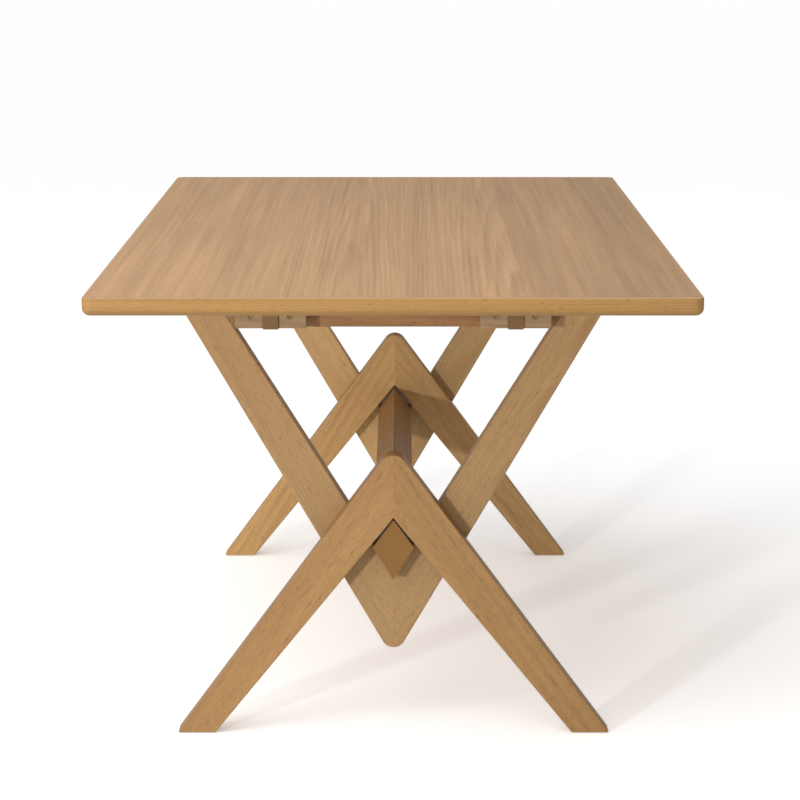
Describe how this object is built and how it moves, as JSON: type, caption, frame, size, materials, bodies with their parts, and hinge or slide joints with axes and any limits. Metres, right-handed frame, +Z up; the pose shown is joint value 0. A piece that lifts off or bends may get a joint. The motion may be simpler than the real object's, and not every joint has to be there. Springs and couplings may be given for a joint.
{
  "type": "folding picnic table",
  "caption": "Oak trestle table with crossed mitred end frames, a kite-section beam drawn through them and a board top that tilts up on wooden knuckle hinges.",
  "frame": {"origin": "on the floor under the middle of the top", "axes": "+X across the table, +Y along it towards the rear trestle, +Z up; the tilting top hinges at the -Y trestle"},
  "size_m": [0.93, 1.8, 0.752],
  "materials": {
    "oak_top": "satin lacquered oak, lengthwise grain",
    "oak_lip": "satin lacquered oak lipping",
    "oak_frame": "satin lacquered oak, grain along each board",
    "oak_rail": "satin lacquered oak",
    "oak_knuckle": "oiled oak, darker",
    "oak_beam": "satin lacquered oak",
    "pale_cleat": "pale sanded wood",
    "beech_core": "plain unfinished beech",
    "zinc_steel": "zinc plated",
    "glide_plastic": "matt nylon"
  },
  "bodies": {
    "base": {"front_leg_left": "oak_frame", "front_leg_right": "oak_frame", "front_arm_left": "oak_frame", "front_arm_right": "oak_frame", "front_top_rail": "oak_rail", "front_knuckle_left": "oak_knuckle", "front_knuckle_right": "oak_knuckle", "front_mitre_splines": "beech_core", "front_crossing_bolts": "zinc_steel", "front_threaded_inserts": "zinc_steel", "front_rail_dowels": "beech_core", "front_foot_glides": "glide_plastic", "rear_leg_left": "oak_frame", "rear_leg_right": "oak_frame", "rear_arm_left": "oak_frame", "rear_arm_right": "oak_frame", "rear_top_rail": "oak_rail", "rear_knuckle_left": "oak_knuckle", "rear_knuckle_right": "oak_knuckle", "rear_mitre_splines": "beech_core", "rear_crossing_bolts": "zinc_steel", "rear_threaded_inserts": "zinc_steel", "rear_rail_dowels": "beech_core", "rear_foot_glides": "glide_plastic"},
    "top": {"front_cleat_left": "pale_cleat", "front_cleat_right": "pale_cleat", "front_hinge_pin_left": "zinc_steel", "front_hinge_pin_right": "zinc_steel", "front_cleat_screws": "zinc_steel", "rear_cleat_left": "pale_cleat", "rear_cleat_right": "pale_cleat", "rear_hinge_pin_left": "zinc_steel", "rear_hinge_pin_right": "zinc_steel", "rear_cleat_screws": "zinc_steel", "lipping_front": "oak_lip", "lipping_rear": "oak_lip", "lipping_left": "oak_lip", "lipping_right": "oak_lip", "top_board_1": "oak_top", "top_board_2": "oak_top", "top_board_3": "oak_top", "top_board_4": "oak_top", "top_board_5": "oak_top", "top_board_6": "oak_top"},
    "beam": {"stretcher_beam": "oak_beam"}
  },
  "joints": [
    {"name": "top_tilt", "type": "hinge", "parent": "base", "child": "top", "pos_m": [0, -0.6275, 0.6845], "axis": [1, 0, 0], "range_deg": [0, 90]},
    {"name": "beam_draw", "type": "slide", "parent": "base", "child": "beam", "axis": [0, -1, 0], "range_m": [0, 1.25]}
  ]
}
